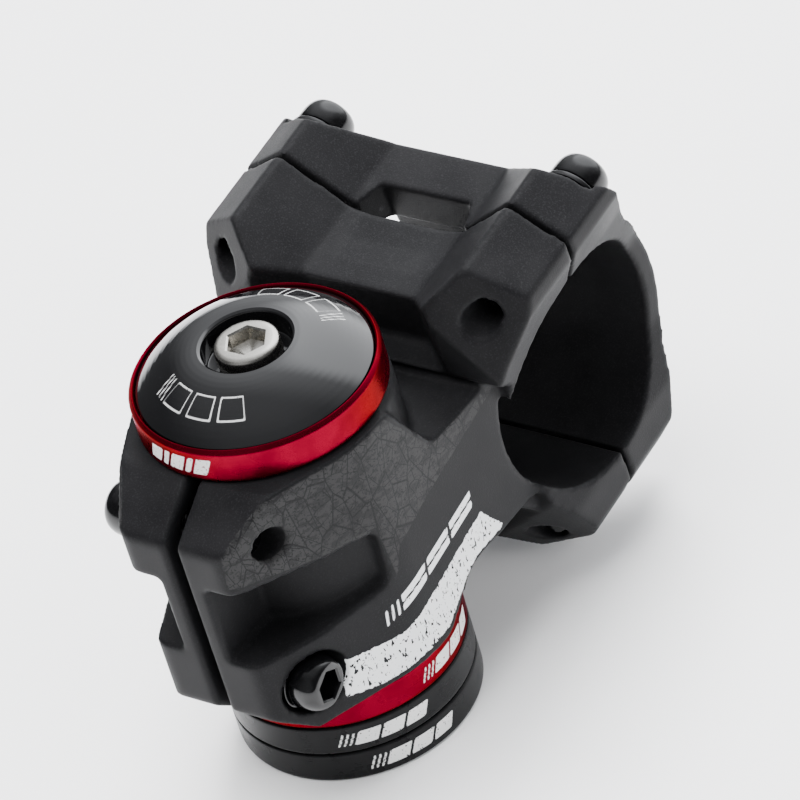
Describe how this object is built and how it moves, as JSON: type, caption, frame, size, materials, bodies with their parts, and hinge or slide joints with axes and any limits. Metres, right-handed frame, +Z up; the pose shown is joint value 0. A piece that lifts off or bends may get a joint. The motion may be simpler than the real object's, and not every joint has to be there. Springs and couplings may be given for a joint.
{
  "type": "bicycle handlebar stem",
  "caption": "Short threadless handlebar stem with slotted steerer clamp, bolted faceplate, domed preload cap, star nut and steerer spacers.",
  "frame": {"origin": "on the steerer axis at the bottom face of the lowest spacer", "axes": "+X forward to the handlebar, +Y to the rider's left along the handlebar, +Z up along the steerer axis"},
  "size_m": [0.0857, 0.0544, 0.065],
  "materials": {
    "black_anodised": "matte, fine blasted grain, black anodised",
    "black_steel": "glossy black plated steel",
    "gloss_black": "high gloss black lacquer with a fine silver line",
    "red_anodised": "bright red anodised, turned",
    "silver_steel": "bright plated steel",
    "spacer_black": "satin black anodised, turned",
    "zinc_steel": "zinc plated steel"
  },
  "bodies": {
    "stem": {"stem_body": "black_anodised", "star_nut_core": "zinc_steel", "star_spring_upper": "zinc_steel", "star_spring_lower": "zinc_steel"},
    "faceplate": {"faceplate": "black_anodised", "face_washer_upper_left": "black_steel", "face_washer_upper_right": "black_steel", "face_washer_lower_left": "black_steel", "face_washer_lower_right": "black_steel"},
    "face_bolt_upper_left": {"face_bolt_upper_left": "black_steel"},
    "face_bolt_upper_right": {"face_bolt_upper_right": "black_steel"},
    "face_bolt_lower_left": {"face_bolt_lower_left": "black_steel"},
    "face_bolt_lower_right": {"face_bolt_lower_right": "black_steel"},
    "pinch_washer_upper": {"pinch_washer_upper": "black_steel"},
    "pinch_bolt_upper": {"pinch_bolt_upper": "black_steel"},
    "pinch_washer_lower": {"pinch_washer_lower": "black_steel"},
    "pinch_bolt_lower": {"pinch_bolt_lower": "black_steel"},
    "top_cap": {"top_cap_dome": "gloss_black", "top_cap_ring": "red_anodised"},
    "preload_bolt": {"preload_bolt": "silver_steel"},
    "spacer_black_lower": {"spacer_black_lower": "spacer_black"},
    "spacer_black_upper": {"spacer_black_upper": "spacer_black"},
    "spacer_red": {"spacer_red": "red_anodised"}
  },
  "joints": [
    {"name": "faceplate_slide", "type": "slide", "parent": "stem", "child": "faceplate", "axis": [0.9945, 0, 0.1045], "range_m": [0, 0.008]},
    {"name": "face_bolt_upper_left_turn", "type": "hinge", "parent": "faceplate", "child": "face_bolt_upper_left", "pos_m": [0.04586, 0.0213, 0.05801], "axis": [0.9945, 0, 0.1045], "range_deg": [0, 3600]},
    {"name": "face_bolt_upper_right_turn", "type": "hinge", "parent": "faceplate", "child": "face_bolt_upper_right", "pos_m": [0.04586, -0.0213, 0.05801], "axis": [0.9945, 0, 0.1045], "range_deg": [0, 3600]},
    {"name": "face_bolt_lower_left_turn", "type": "hinge", "parent": "faceplate", "child": "face_bolt_lower_left", "pos_m": [0.05078, 0.0155, 0.01127], "axis": [0.9945, 0, 0.1045], "range_deg": [0, 3600]},
    {"name": "face_bolt_lower_right_turn", "type": "hinge", "parent": "faceplate", "child": "face_bolt_lower_right", "pos_m": [0.05078, -0.0155, 0.01127], "axis": [0.9945, 0, 0.1045], "range_deg": [0, 3600]},
    {"name": "pinch_bolt_upper_turn", "type": "hinge", "parent": "stem", "child": "pinch_washer_upper", "pos_m": [-0.0187, 0.0083, 0.0478], "axis": [0, 1, 0], "range_deg": [0, 2880]},
    {"name": "pinch_bolt_upper_slide", "type": "slide", "parent": "pinch_washer_upper", "child": "pinch_bolt_upper", "axis": [0, 1, 0], "range_m": [0, 0.0064]},
    {"name": "pinch_bolt_lower_turn", "type": "hinge", "parent": "stem", "child": "pinch_washer_lower", "pos_m": [-0.0187, -0.0083, 0.0226], "axis": [0, -1, 0], "range_deg": [0, 2880]},
    {"name": "pinch_bolt_lower_slide", "type": "slide", "parent": "pinch_washer_lower", "child": "pinch_bolt_lower", "axis": [0, -1, 0], "range_m": [0, 0.0064]},
    {"name": "top_cap_lift", "type": "slide", "parent": "stem", "child": "top_cap", "axis": [0, 0, 1], "range_m": [0, 0.01]},
    {"name": "preload_bolt_turn", "type": "hinge", "parent": "top_cap", "child": "preload_bolt", "pos_m": [0, 0, 0.0621], "axis": [0, 0, 1], "range_deg": [0, 3600]},
    {"name": "spacer_black_lower_turn", "type": "hinge", "parent": "stem", "child": "spacer_black_lower", "pos_m": [0, 0, 0.0025], "axis": [0, 0, 1], "continuous": true},
    {"name": "spacer_black_upper_turn", "type": "hinge", "parent": "stem", "child": "spacer_black_upper", "pos_m": [0, 0, 0.0075], "axis": [0, 0, 1], "continuous": true},
    {"name": "spacer_red_turn", "type": "hinge", "parent": "stem", "child": "spacer_red", "pos_m": [0, 0, 0.0125], "axis": [0, 0, 1], "continuous": true}
  ],
  "couplings": [
    {"joint": "face_bolt_upper_left_turn", "follows": "faceplate_slide", "rad_per_m": 7854},
    {"joint": "face_bolt_upper_right_turn", "follows": "faceplate_slide", "rad_per_m": 7854},
    {"joint": "face_bolt_lower_left_turn", "follows": "faceplate_slide", "rad_per_m": 7854},
    {"joint": "face_bolt_lower_right_turn", "follows": "faceplate_slide", "rad_per_m": 7854},
    {"joint": "pinch_bolt_upper_turn", "follows": "pinch_bolt_upper_slide", "rad_per_m": 7854},
    {"joint": "pinch_bolt_lower_turn", "follows": "pinch_bolt_lower_slide", "rad_per_m": 7854},
    {"joint": "preload_bolt_turn", "follows": "top_cap_lift", "rad_per_m": 6283.2}
  ]
}
